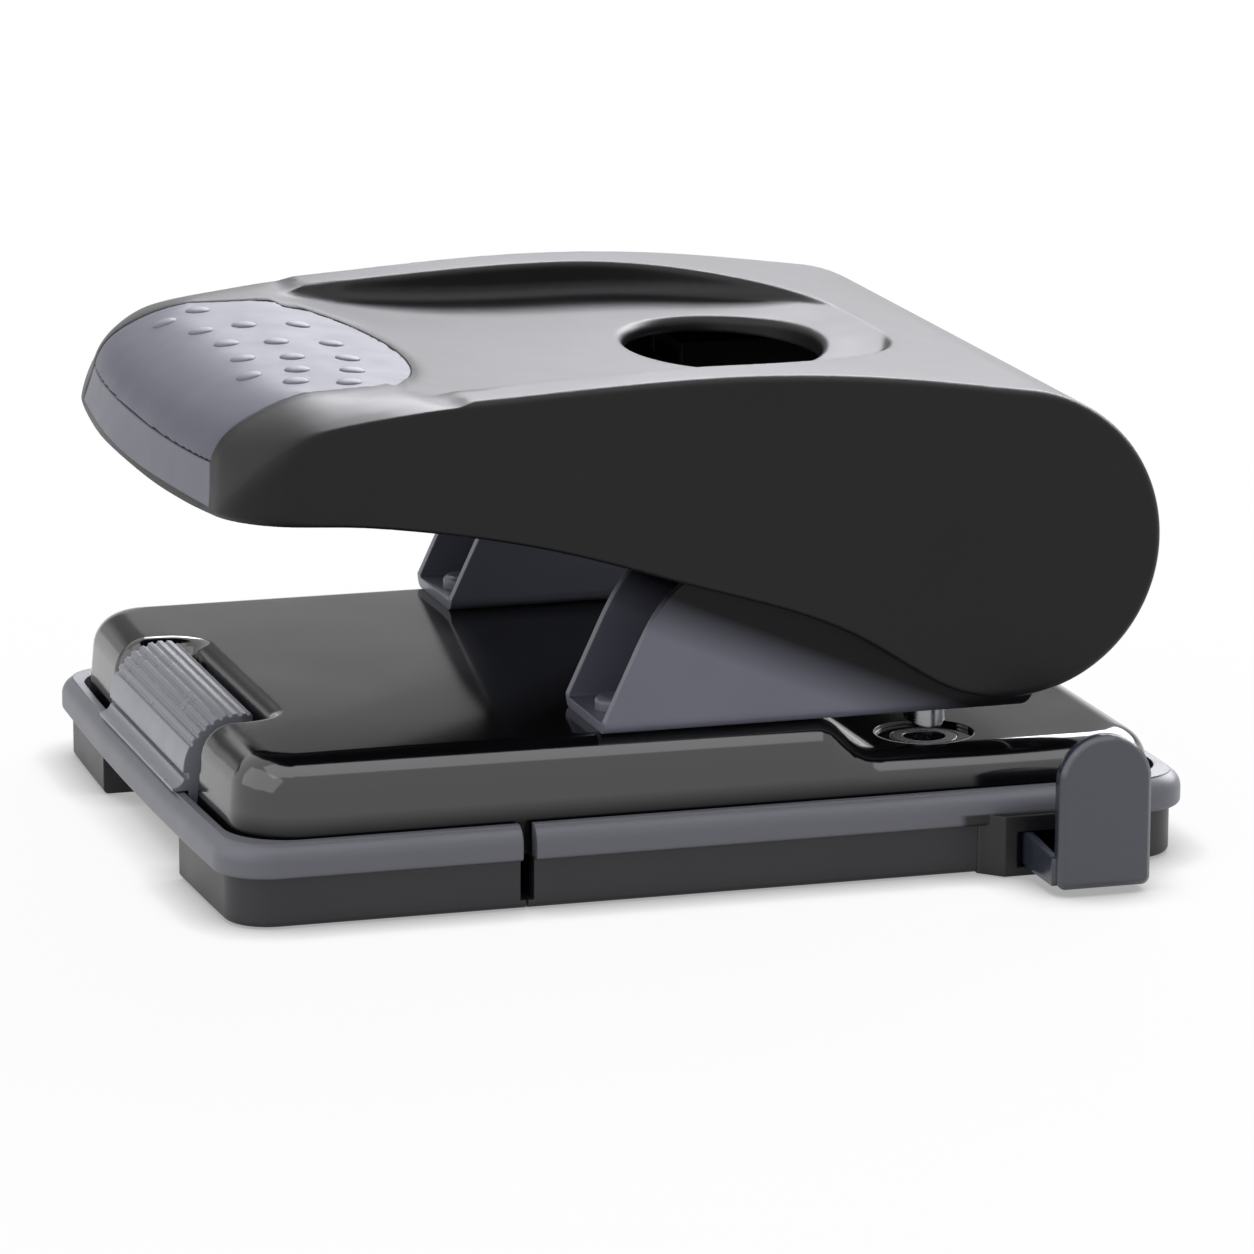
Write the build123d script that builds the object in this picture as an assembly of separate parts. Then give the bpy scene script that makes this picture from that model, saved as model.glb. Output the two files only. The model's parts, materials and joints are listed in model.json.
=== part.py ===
from build123d import *
import math
import os

# Two-hole desk punch, in millimetres.
# Origin: on the table, midway between the two punches. +X right side, +Y rear
# (the paper comes in from the rear), -Y handle nose, +Z up.

# ---- paper and punching --------------------------------------------------
HOLE_SPACING = 80.0      # between the two hole centres
PAPER_DEPTH = 12.0       # hole centre to the paper's edge at the stop
THROAT = 5.2             # height of the slot for the paper
PUNCH_R = 3.0
FIT = 0.05               # radial running clearance of pins in their bores
SEAT = 0.02              # radial clearance of pressed pieces

# ---- base cover (pressed steel) ------------------------------------------
LOW_TOP = 17.6           # top of the low rear platform
SHEET = 1.2              # thickness of the cover's sheet
COVER_DRAFT = 5.0        # degrees
COVER_SHOULDER = 5.2     # outer edge radius of the platforms
COVER_CORNER_R = 9.6     # plan corners of the cover
STEP_RUN = 5.0           # length of the sloped step between the platforms
STEP_BLEND = 6.5         # radius at the step's crest and foot
DIE_RECESS_R = 7.2
DIE_RECESS_DEPTH = 0.6
NOTCH_HALF = 24.7        # half width of the pressed notch for the latch
NOTCH_DEPTH = 12.2       # from the cover's front edge
NOTCH_ROLL = 2.8         # radius of the notch's rolled upper edge
NOTCH_CORNER_R = 4.2

# ---- tray (flexible moulding) --------------------------------------------
SIDE_MARGIN = 14.0       # from a punch's axis to the tray's side
TRAY_HALF = HOLE_SPACING / 2 + SIDE_MARGIN
TRAY_FRONT = -105.4      # wall's front face at the corners
TRAY_REAR = 34.6
TRAY_BOW = 1.2           # how far the front edge bows out
TRAY_CORNER_R = 6.5
TRAY_INNER_R = 10.4      # corners inside the wall
TRAY_WALL = 1.2
TRAY_FLOOR = 1.2
LEDGE = 1.6              # ledge inside the wall that the cover stands on
LEDGE_TOP = 7.4
RIM_TOP = 12.1
RIM_HEIGHT = 4.9
RIM_PROUD = 1.6          # how far the rim stands out from the wall
RIM_TOP_R = 2.5          # its rounded upper outer edge
RIM_UNDER_R = 0.7
COVER_GAP = 0.4          # between the cover and the tray's wall
SLIT_Y = -63.5           # living hinge of the flap
SLIT = 2.0
HINGE_GAP = 0.3          # between the two floors at the hinge line
RECESS_HALF = 24.3       # finger recess under the front rim
RECESS_DEPTH = 8.4
RECESS_TOP = 6.2

# ---- brackets -------------------------------------------------------------
BRACKET_WIDTH = 19.5
BRACKET_SHEET = 1.5
BRACKET_FRONT = -50.9
BRACKET_REAR = 13.4
BRACKET_TOP = 48.3
BEND_R = 2.0
RIVET_R = 3.1
RIVET_HEIGHT = 2.0
RIVET_PITCH = 22.0

# ---- lever, pivot and punches ---------------------------------------------
PIVOT_Y = 24.0
PIVOT_Z = 46.0
PIVOT_R = 2.5
PLATE_EYE_R = 4.6        # round end of the bracket plates
LEVER_SHEET = 1.5
LEVER_SIDE_GAP = 0.25
LEVER_TOP = 62.0
ROLLER_R = 3.0
ROLLER_AXLE_R = 1.8
ROLLER_Z = 49.0
ROLLER_GAP = 0.2         # above the punch head at rest
TIP_SHOW = 4.0           # punch tip below the bracket's underside at rest
SADDLE_DEPTH = 1.0
HEAD_R = 4.6
HEAD_HEIGHT = 1.5
COLLAR_HEIGHT = 1.2
COLLAR_R = 5.2
BUSH_R = 3.8
BUSH_HEIGHT = 6.4
WIRE_R = 0.5
SPRING_R = 4.5           # mean radius
SPRING_TURNS = 7
DIE_R = 4.8
DIE_HEIGHT = 4.5
DIE_FLANGE_R = 6.2
DIE_FLANGE = 1.5

# ---- handle (moulded) -----------------------------------------------------
HANDLE_WALL = 1.6
HANDLE_TOP_WALL = 2.2
HANDLE_EDGE = 1.2        # radius of its outer edges
EAR_Y = 8.4              # centre of the round rear end
EAR_Z = 47.3
EAR_R = 22.3
NOSE_FRONT = -109.6      # front in plan, in the middle
NOSE_PLAN_BOW = 6.6
NOSE_SEAM_Y = -104.1     # seam between pad and band, at the pad's edge
NOSE_TOP_Y = -91.5
NOSE_TOP_Z = 71.1
NOSE_ROUND = 8.4         # height of the round between the seam and the top
NOSE_BAND = 6.7          # height of the face below the seam
NOSE_LEAN = 1.6          # how far that face leans back
NOSE_SPARE = 0.8         # length that the trim takes off
NOSE_BOW = 2.6           # how far the nose bows out in the middle
SHOULDER_BACK = 5.4      # how far the nose sits back at its sides
SHOULDER_DROP = 2.7      # how far its top falls away there
NOSE_CORNER_R = 12.0
NOSE_HALF = HOLE_SPACING / 2 + 10.4
CREST_RISE = 2.4         # the crest over the nose's top
CREST_Y = -36.0
REAR_HALF = HOLE_SPACING / 2 + 13.7
DISH_HALF = 42.3         # half width of the channel between the rails
DISH_FLOOR = 68.2
DISH_BLEND = 2.5         # radius between its floor and walls
DISH_LIP = 0.8           # radius of the rails' inner edges
DISH_REAR = 6.0
DISH_END_Y = -31.0       # where the channel's round rear end starts
HOLE_Y = -18.0           # thumb hole
HOLE_HALF_X = 20.5
HOLE_HALF_Y = 14.0
HOLE_LIP = 1.2           # radius of its upper edge
PAD_THICK = 1.3
PAD_HALF = 36.3
PAD_END_HALF = 34.5
PAD_END_Y = -82.2
PAD_TIP = 14.0
PAD_GROOVE = 0.2
DOT_R = 1.75             # raised grip dots on the pad
DOT_HEIGHT = 0.35
DOT_BOW = 0.006          # the rows curve forwards towards the sides
DOT_ROWS = (
    (-92.0, (-25.5, -14.0, -3.0, 8.6, 19.7)),
    (-85.0, (-29.0, -15.3, -1.5, 10.3, 19.5, 27.3)),
    (-77.0, (-15.0, -0.8, 11.3, 21.8, 30.6)),
)
SCREW_R = 1.5
SCREW_HEAD_R = 2.8
BOSS_R = 3.2

# ---- latch of the flap ----------------------------------------------------
LATCH_HALF = 23.4
LATCH_R = 8.1
LATCH_Y = -97.3          # centre of its round back
LATCH_Z = 15.0
LATCH_REAR = 2.6         # from the centre to its rear wall
LATCH_WALL = 1.6
LATCH_CORNER_R = 2.4     # its rear corners in plan, so that it tilts into the notch
LATCH_FOOT = 1.6         # how far the foot stands out over the rim
LATCH_GROOVES = 8
LATCH_GROOVE_R = 0.35
LATCH_FIRST_GROOVE = 78.0     # degrees
LATCH_GROOVE_STEP = 10.2
LATCH_AXLE_R = 1.2
LATCH_AXLE_BACK = 2.4    # the axle lies this far in front of the round's centre
LATCH_AXLE_RISE = 2.6    # and this far above the ledge
LATCH_EAR_X = 19.0
LATCH_LEG_X = 16.0
EAR_THICK = 2.0

# ---- paper guide ----------------------------------------------------------
GUIDE_Y = 16.4           # middle of the arm
GUIDE_WIDTH = 14.2
GUIDE_WALL = 1.2
GUIDE_Z = 1.35
GUIDE_TOP = 6.3
GUIDE_INNER = -10.0      # inner end of the arm
GUIDE_FACE = 70.0        # outer face of the end plate
GUIDE_SLOPE = 1.2        # the walls come down this much towards the end plate
GUIDE_RAIL = 20.0        # how far the rails reach past the middle
PLATE_WIDTH = 13.8
PLATE_SHIFT = 0.3
PLATE_THICK = 2.2
PLATE_LOW = 0.9
PLATE_TOP = 23.0
HOUSING_OUT = 3.3        # how far the guide housing stands out from the wall
HOUSING_TOP = 8.8
HOUSING_FRONT = 3.2
HOUSING_MOUTH = 1.0      # chamfer round the slot
GUIDE_PLAY = 0.2
NOTCH_PITCH = 4.0
DETENT_X = 38.0          # the leaf spring's bump
DETENT_LENGTH = 14.0

# ---- values worked out from the sizes above -------------------------------
HIGH_TOP = LOW_TOP + THROAT
COVER_INSET = TRAY_WALL + COVER_GAP
COVER_FOOT = LEDGE_TOP + 0.1
COVER_FRONT = TRAY_FRONT - TRAY_BOW + COVER_INSET
WEB_TOP = HIGH_TOP + BRACKET_SHEET
PUNCH_X = HOLE_SPACING / 2
BRACKET_HALF = BRACKET_WIDTH / 2
LEVER_HALF = BRACKET_HALF - BRACKET_SHEET - LEVER_SIDE_GAP
LEVER_INNER = LEVER_HALF - LEVER_SHEET
HEAD_TOP = ROLLER_Z - ROLLER_R - ROLLER_GAP
TIP_Z = HIGH_TOP - TIP_SHOW
WASHER = 0.6
SPRING_LOW = WEB_TOP + WASHER
SPRING_HIGH = HEAD_TOP - HEAD_HEIGHT - COLLAR_HEIGHT
DIE_TOP = LOW_TOP - DIE_RECESS_DEPTH
CEILING = DISH_FLOOR - HANDLE_TOP_WALL
NOSE_SEAM_Z = NOSE_TOP_Z - NOSE_ROUND
NOSE_LOW_Z = NOSE_SEAM_Z - NOSE_BAND
CREST_Z = NOSE_TOP_Z + CREST_RISE
RIVET_SHANK_R = RIVET_R * 0.55
SCREW_PLACES = (-8.0, 11.0)
LATCH_AXLE_Y = LATCH_Y - LATCH_AXLE_BACK
LATCH_AXLE_Z = LEDGE_TOP + LATCH_AXLE_RISE
LOWER = (Align.CENTER, Align.CENTER, Align.MIN)
SIDES = (("left", -PUNCH_X), ("right", PUNCH_X))


def polar(centre, radius, degrees):
    angle = math.radians(degrees)
    return (centre[0] + radius * math.cos(angle), centre[1] + radius * math.sin(angle))


def side_extrusion(face, half=90.0):
    """Extrudes a side view, drawn in Y and Z, right across the product."""
    return extrude(face, half, both=True)


def block(x0, x1, y0, y1, z0, z1):
    return Pos((x0 + x1) / 2, (y0 + y1) / 2, (z0 + z1) / 2) * Box(x1 - x0, y1 - y0, z1 - z0)


def rod(radius, z0, z1, x=0.0, y=0.0):
    return Pos(x, y, z0) * Cylinder(radius, z1 - z0, align=LOWER)


def cross_rod(radius, x0, x1, y, z):
    """A rod along X."""
    return Pos((x0 + x1) / 2, y, z) * Rot(0, 90, 0) * Cylinder(radius, x1 - x0)


# ---- base plan shared by the tray and the cover ----------------------------
def base_plan(grow, corner=TRAY_CORNER_R):
    """The base's outline in plan: a rounded oblong whose front edge bows out."""
    with BuildSketch() as plan:
        with BuildLine():
            front = ThreePointArc(
                (-TRAY_HALF, TRAY_FRONT), (0, TRAY_FRONT - TRAY_BOW), (TRAY_HALF, TRAY_FRONT)
            )
            Polyline(front @ 1, (TRAY_HALF, TRAY_REAR), (-TRAY_HALF, TRAY_REAR), front @ 0)
        make_face()
        fillet(plan.vertices(), corner)
    return offset(plan.sketch, grow) if grow else plan.sketch


# ---- tray -------------------------------------------------------------------
def whole_tray():
    wall = extrude(base_plan(0), RIM_TOP)
    rim = extrude(Pos(0, 0, RIM_TOP - RIM_HEIGHT) * base_plan(RIM_PROUD), RIM_HEIGHT)
    rim_edges = rim.edges().group_by(Axis.Z)
    rim = fillet(rim_edges[-1], RIM_TOP_R)
    rim = fillet(rim.edges().group_by(Axis.Z)[0], RIM_UNDER_R)
    floor_edges = wall.edges().group_by(Axis.Z)[0]
    wall = fillet(floor_edges, 0.8)
    cavity_low = Pos(0, 0, TRAY_FLOOR) * extrude(base_plan(-TRAY_WALL - LEDGE, TRAY_INNER_R), RIM_TOP)
    cavity_high = Pos(0, 0, LEDGE_TOP) * extrude(base_plan(-TRAY_WALL, TRAY_INNER_R), RIM_TOP)
    return wall + rim - cavity_low - cavity_high


def hinge_cut(side):
    """Everything on one side of the flap's hinge: -1 in front, +1 behind."""
    edge = SLIT_Y + side * HINGE_GAP / 2
    wall_edge = SLIT_Y + side * SLIT / 2
    far = side * 200.0
    low = block(-80, 80, *sorted((edge, edge + far)), -1, TRAY_FLOOR)
    high = block(-80, 80, *sorted((wall_edge, wall_edge + far)), TRAY_FLOOR, 30)
    return low + high


def axle_ear(x, z0, z1, clearance):
    """A plate with a round end about the latch's axle."""
    x0, x1 = x - EAR_THICK / 2, x + EAR_THICK / 2
    radius = LATCH_AXLE_R + 1
    ear = block(x0, x1, LATCH_AXLE_Y - radius, LATCH_AXLE_Y + radius, z0, z1)
    ear += cross_rod(radius, x0, x1, LATCH_AXLE_Y, LATCH_AXLE_Z)
    return ear - cross_rod(LATCH_AXLE_R + clearance, x0 - 1, x1 + 1, LATCH_AXLE_Y, LATCH_AXLE_Z)


def tray_front(tray):
    front = tray & hinge_cut(-1)
    recess_back = TRAY_FRONT + RECESS_DEPTH
    pocket_out = block(
        -RECESS_HALF - TRAY_WALL, RECESS_HALF + TRAY_WALL,
        TRAY_FRONT + TRAY_WALL, recess_back + TRAY_WALL, 0, LEDGE_TOP,
    )
    pocket = block(-RECESS_HALF, RECESS_HALF, TRAY_FRONT - 9, recess_back, -1, RECESS_TOP)
    front = front + pocket_out - pocket
    for x in (-LATCH_EAR_X, LATCH_EAR_X):
        front += axle_ear(x, LEDGE_TOP - 0.5, LATCH_AXLE_Z, SEAT)
    return front


def tray_rear(tray):
    rear = tray & hinge_cut(1)
    low, high = GUIDE_Y - GUIDE_WIDTH / 2 - GUIDE_PLAY, GUIDE_Y + GUIDE_WIDTH / 2 + GUIDE_PLAY
    housing_rear = 2 * GUIDE_Y - HOUSING_FRONT
    housing = block(
        TRAY_HALF - TRAY_WALL, TRAY_HALF + HOUSING_OUT, HOUSING_FRONT, housing_rear, 0, HOUSING_TOP
    )
    outer = [e for e in housing.edges().filter_by(Axis.Z) if e.center().X > TRAY_HALF]
    rear += chamfer(outer, HOUSING_OUT - 0.2)
    for y0, y1 in ((low - 1.2, low), (high, high + 1.2)):
        rear += block(-GUIDE_RAIL, TRAY_HALF - TRAY_WALL, y0, y1, TRAY_FLOOR - 0.2, GUIDE_TOP)
    tunnel = block(TRAY_HALF - 8, TRAY_HALF + HOUSING_OUT, low, high, TRAY_FLOOR, GUIDE_TOP + GUIDE_PLAY)
    rear -= tunnel
    with BuildSketch(Plane.XY.offset(TRAY_FLOOR)) as flare:
        outer = TRAY_HALF + HOUSING_OUT
        with BuildLine():
            Polyline(
                (outer - HOUSING_MOUTH, low), (outer + 1, low - HOUSING_MOUTH - 1),
                (outer + 1, high + HOUSING_MOUTH + 1), (outer - HOUSING_MOUTH, high),
                (outer - HOUSING_MOUTH, low),
            )
        make_face()
    return rear - extrude(flare.sketch, GUIDE_TOP + GUIDE_PLAY - TRAY_FLOOR)


# ---- base cover --------------------------------------------------------------
def cover_profile(drop):
    """Side view of the two platforms and the sloped step, lowered by drop."""
    foot_y = -PAPER_DEPTH
    crest_y = foot_y - STEP_RUN
    low, high = LOW_TOP - drop, HIGH_TOP - drop
    with BuildSketch(Plane.YZ) as view:
        with BuildLine():
            Polyline(
                (-200, 0), (200, 0), (200, low), (foot_y - drop * 0.4, low),
                (crest_y - drop * 0.4, high), (-200, high), (-200, 0),
            )
        make_face()
        bends = [v for v in view.vertices() if abs(v.X) < 50]
        fillet(bends, STEP_BLEND)
    return view.sketch


def notch_form(inset):
    """The pressed notch for the latch, grown by the sheet for the inner form."""
    half, rear = NOTCH_HALF + inset, COVER_FRONT + NOTCH_DEPTH + inset
    notch = block(-half, half, COVER_FRONT - 30, rear, 0, 60)
    corners = [e for e in notch.edges().filter_by(Axis.Z) if e.center().Y > COVER_FRONT]
    return fillet(corners, NOTCH_CORNER_R + inset)


def cover_form(inset):
    """The cover's outer form, or the space inside its sheet."""
    plan = base_plan(-COVER_INSET - inset, COVER_CORNER_R + COVER_INSET)
    form = Pos(0, 0, COVER_FOOT - inset) * extrude(plan, 30, taper=COVER_DRAFT)
    form = form & side_extrusion(cover_profile(inset))
    high = [e for e in form.edges() if e.center().Z > LOW_TOP - inset - 1]
    sides = [e for e in high if abs(e.center().X) > 30]
    ends = [e for e in high if abs(e.center().X) < 1 and not -60 < e.center().Y < 20]
    form = fillet(sides + ends, COVER_SHOULDER - inset)
    form -= notch_form(inset)
    rear = COVER_FRONT + NOTCH_DEPTH + 3
    mouth = [e for e in form.edges() if abs(e.center().X) < NOTCH_HALF + 3 and e.center().Y < rear]
    rolled = [e for e in mouth if e.bounding_box().max.Z > HIGH_TOP - inset - 0.5]
    return fillet(rolled, NOTCH_ROLL - inset)


def base_cover():
    cover = cover_form(0) - cover_form(SHEET)
    for _, x in SIDES:
        cover -= rod(DIE_RECESS_R, DIE_TOP, LOW_TOP + 1, x)
        cover -= rod(DIE_R + SEAT, 0, 30, x)
        for y in rivet_places():
            cover -= rod(RIVET_SHANK_R + SEAT, 0, 30, x, y)
    return cover


def die():
    body = rod(DIE_R, DIE_TOP - DIE_HEIGHT, DIE_TOP)
    under = LOW_TOP - SHEET
    body += rod(DIE_FLANGE_R, under - DIE_FLANGE, under)
    body -= rod(PUNCH_R + FIT, 0, 40)
    return body - rod(PUNCH_R + 0.5, 0, DIE_TOP - 2.0)


# ---- brackets ------------------------------------------------------------------
def rivet_places():
    first = BRACKET_FRONT + 4.6
    return (first, first + RIVET_PITCH)


def bracket_profile():
    """Side view of a bracket plate, from its slanted front edge to the pivot."""
    eye = (PIVOT_Y, PIVOT_Z)
    with BuildSketch(Plane.YZ) as view:
        with BuildLine():
            foot = (BRACKET_FRONT, HIGH_TOP)
            slant_low = (BRACKET_FRONT, WEB_TOP + 0.3)
            slant_mid = (BRACKET_FRONT + 4.2, WEB_TOP + 9.3)
            slant_high = (BRACKET_FRONT + 8.7, BRACKET_TOP - 6.9)
            bend = (BRACKET_FRONT + 12.6, BRACKET_TOP - 3.3)
            level = (BRACKET_FRONT + 22.9, BRACKET_TOP)
            eye_top = polar(eye, PLATE_EYE_R, 96)
            eye_low = polar(eye, PLATE_EYE_R, -32)
            heel = (BRACKET_REAR, WEB_TOP + 1.4)
            Line(foot, slant_low)
            Spline([slant_low, slant_mid, slant_high, bend, level], tangents=[(0.42, 0.91), (1, 0.02)])
            Line(level, eye_top)
            ThreePointArc(eye_top, polar(eye, PLATE_EYE_R, 32), eye_low)
            Polyline(eye_low, heel, (BRACKET_REAR - 1.5, HIGH_TOP), foot)
        make_face()
        heels = [v for v in view.vertices() if abs(v.X - BRACKET_REAR + 0.8) < 1.2 and v.Y < WEB_TOP + 2]
        fillet(heels, 1.6)
    return view.sketch


def bracket():
    with BuildSketch(Plane.XZ) as section:
        with Locations((0, HIGH_TOP + 30)):
            Rectangle(BRACKET_WIDTH, 60)
        fillet([v for v in section.vertices() if v.Y < HIGH_TOP + 1], BEND_R)
        with Locations((0, WEB_TOP + 30)):
            Rectangle(BRACKET_WIDTH - 2 * BRACKET_SHEET, 60, mode=Mode.SUBTRACT)
        inner = [v for v in section.vertices() if abs(v.Y - WEB_TOP) < 0.1]
        fillet(inner, BEND_R - BRACKET_SHEET)
    channel = extrude(section.sketch, 150, both=True)
    plate = channel & side_extrusion(bracket_profile())
    plate -= rod(BUSH_R + SEAT, 0, 30)
    for y in rivet_places():
        plate -= rod(RIVET_SHANK_R + SEAT, 0, 30, 0, y)
    return plate - cross_rod(PIVOT_R + SEAT, -20, 20, PIVOT_Y, PIVOT_Z)


def bracket_rivets():
    under = HIGH_TOP - SHEET
    rivets = Part()
    for y in rivet_places():
        head = rod(RIVET_R, WEB_TOP, WEB_TOP + RIVET_HEIGHT, 0, y)
        head = fillet(head.edges().sort_by(Axis.Z)[-1], RIVET_HEIGHT / 2)
        rivets += head + rod(RIVET_SHANK_R, under, WEB_TOP, 0, y)
        rivets += rod(RIVET_R - 0.3, under - 0.9, under, 0, y)
    return rivets


def pivot_pin():
    reach = BRACKET_HALF + 0.2
    return cross_rod(PIVOT_R, -reach, reach, PIVOT_Y, PIVOT_Z)


# ---- punches ---------------------------------------------------------------------
def punch_pin():
    pin = rod(PUNCH_R, TIP_Z, HEAD_TOP - HEAD_HEIGHT) + rod(HEAD_R, HEAD_TOP - HEAD_HEIGHT, HEAD_TOP)
    saddle_r = (PUNCH_R ** 2 + SADDLE_DEPTH ** 2) / (2 * SADDLE_DEPTH)
    saddle = cross_rod(saddle_r, -20, 20, 0, TIP_Z + SADDLE_DEPTH - saddle_r)
    return pin - Rot(0, 0, 90) * saddle


def ring(outer, inner, z0, z1):
    return rod(outer, z0, z1) - rod(inner, z0 - 1, z1 + 1)


def pin_spring():
    """An open coil whose wire lies just inside its two seats."""
    height = SPRING_HIGH - SPRING_LOW - 2 * WIRE_R - 0.2
    path = Helix(pitch=height / SPRING_TURNS, height=height, radius=SPRING_R)
    path = Pos(0, 0, SPRING_LOW + WIRE_R + 0.1) * path
    section = Plane(path @ 0, z_dir=path % 0) * Circle(WIRE_R)
    return sweep(section, path=path, is_frenet=True)


# ---- lever inside each bracket ------------------------------------------------------
def press_lever():
    with BuildSketch(Plane.YZ) as view:
        with Locations((PIVOT_Y, PIVOT_Z)):
            Circle(PLATE_EYE_R + 0.2)
        with Locations((0, ROLLER_Z)):
            Circle(ROLLER_AXLE_R + 2.4)
        with Locations((1, LEVER_TOP - 2)):
            Rectangle(30, 4)
        make_hull()
    form = side_extrusion(view.sketch, LEVER_HALF)
    form -= block(-LEVER_INNER, LEVER_INNER, -90, 90, 0, LEVER_TOP - LEVER_SHEET)
    form -= cross_rod(PIVOT_R + FIT, -20, 20, PIVOT_Y, PIVOT_Z)
    form -= cross_rod(ROLLER_AXLE_R + SEAT, -20, 20, 0, ROLLER_Z)
    for y in SCREW_PLACES:
        form -= rod(SCREW_R + 0.2, 0, 90, 0, y)
    return form


def press_roller():
    wheel = LEVER_INNER - 0.2
    roller = cross_rod(ROLLER_R, -wheel, wheel, 0, ROLLER_Z)
    return roller + cross_rod(ROLLER_AXLE_R, -LEVER_HALF, LEVER_HALF, 0, ROLLER_Z)


def lever_screws():
    under = LEVER_TOP - LEVER_SHEET
    screws = Part()
    for _, x in SIDES:
        for y in SCREW_PLACES:
            head = rod(SCREW_HEAD_R, under - 1.8, under, x, y)
            drive = rod(1.3, under - 1.9, under - 0.9, x, y)
            screws += head - drive + rod(SCREW_R, under, CEILING - 0.4, x, y)
    return screws


# ---- handle ----------------------------------------------------------------------------
def nose_direction():
    """Direction of the nose's front face, tangent to the round above it."""
    rise = 2 * math.atan2(NOSE_TOP_Z - NOSE_SEAM_Z, NOSE_TOP_Y - NOSE_SEAM_Y)
    return math.cos(rise), math.sin(rise)


def handle_profile():
    """Side view of the lever: arched top, round rear end and a nose left a little long."""
    ear = (EAR_Y, EAR_Z)
    top_angle, low_angle = 82, 240
    ear_top, ear_low = polar(ear, EAR_R, top_angle), polar(ear, EAR_R, low_angle)
    top_tangent = (math.sin(math.radians(top_angle)), -math.cos(math.radians(top_angle)))
    low_tangent = (math.sin(math.radians(low_angle)), -math.cos(math.radians(low_angle)))
    along = nose_direction()
    fall = NOSE_BAND / along[1]
    seam = (NOSE_SEAM_Y - NOSE_BOW - NOSE_SPARE, NOSE_SEAM_Z)
    top = (NOSE_TOP_Y - NOSE_BOW - NOSE_SPARE, NOSE_TOP_Z + 0.3)
    low = (seam[0] - along[0] * fall, NOSE_LOW_Z)
    under = (low[0] + 6.7, NOSE_LOW_Z - 0.2)
    with BuildSketch(Plane.YZ) as view:
        with BuildLine():
            Spline(
                [top, (-70, CREST_Z - 1.55), (CREST_Y, CREST_Z), (-8, CREST_Z - 1.45), ear_top],
                tangents=[(1, 0), top_tangent],
            )
            ThreePointArc(ear_top, (EAR_Y + EAR_R, EAR_Z), ear_low)
            Spline(
                [ear_low, (-14, 35.0), (-37.5, 43.6), (-60, 50.4), (-82, NOSE_LOW_Z - 1.6), under],
                tangents=[low_tangent, (-1, 0.04)],
            )
            Polyline(under, low, seam)
            TangentArc(seam, top, tangent=along)
        make_face()
        corner = [v for v in view.vertices() if abs(v.X - low[0]) < 0.01]
        fillet(corner, 2.2)
    return view.sketch


def handle_plan(inset):
    """The handle's outline in plan, or the outline a wall's thickness inside it."""
    half, rear_half = NOSE_HALF - inset, REAR_HALF - inset
    front, rear = NOSE_FRONT + inset, EAR_Y + EAR_R + 4
    side_front = front + NOSE_PLAN_BOW
    with BuildSketch() as plan:
        with BuildLine():
            ThreePointArc((-half, side_front), (0, front), (half, side_front))
            for side in (-1, 1):
                Line((side * half, side_front), (side * half, NOSE_TOP_Y + 3))
                Spline(
                    [(side * half, NOSE_TOP_Y + 3), (side * (half + 0.4), -75),
                     (side * (rear_half - 2), -48), (side * (rear_half - 1.5), -20),
                     (side * (rear_half - 0.5), 12), (side * rear_half, rear)],
                    tangents=[(0, 1), (side * 0.01, 1)],
                )
            Line((-rear_half, rear), (rear_half, rear))
        make_face()
        fillet([v for v in plan.vertices() if v.Y < side_front + 1], NOSE_CORNER_R - inset)
    return plan.sketch


def nose_section(x, low_back, back, drop):
    """Side view that trims the nose at one distance from the middle.

    The face sits back by low_back at its lower edge and by back above it, and the
    top falls by drop."""
    seam = (NOSE_SEAM_Y + back, NOSE_SEAM_Z - drop / 2)
    brow = (seam[0] + 5.5, seam[1] + NOSE_ROUND * 0.71 - drop * 0.2)
    top = (NOSE_TOP_Y + back, NOSE_TOP_Z - drop)
    low = (NOSE_SEAM_Y - NOSE_LEAN + low_back, NOSE_LOW_Z)
    lean = (seam[0] - low[0], seam[1] - low[1])
    foot = (low[0] - lean[0], low[1] - lean[1])
    clear = CREST_Z + 2
    with BuildSketch(Plane.YZ.offset(x)) as view:
        with BuildLine():
            Line(foot, seam)
            Spline(
                [seam, brow, top, (top[0] + 13.5, NOSE_TOP_Z + 0.6 - drop * 0.3), (-58, clear)],
                tangents=[lean, (1, 0.3)],
            )
            Polyline((-58, clear), (90, clear), (90, 0), (foot[0], 0), foot)
        make_face()
    return view.sketch


def nose_trim():
    """Bows the nose out in the middle and lets its shoulders fall away."""
    side = REAR_HALF + 1
    return loft([
        nose_section(-side, 1.0, SHOULDER_BACK, SHOULDER_DROP),
        nose_section(-PAD_HALF, 0, 0, 0),
        nose_section(0, -NOSE_BOW, -NOSE_BOW, 0),
        nose_section(PAD_HALF, 0, 0, 0),
        nose_section(side, 1.0, SHOULDER_BACK, SHOULDER_DROP),
    ])


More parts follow.
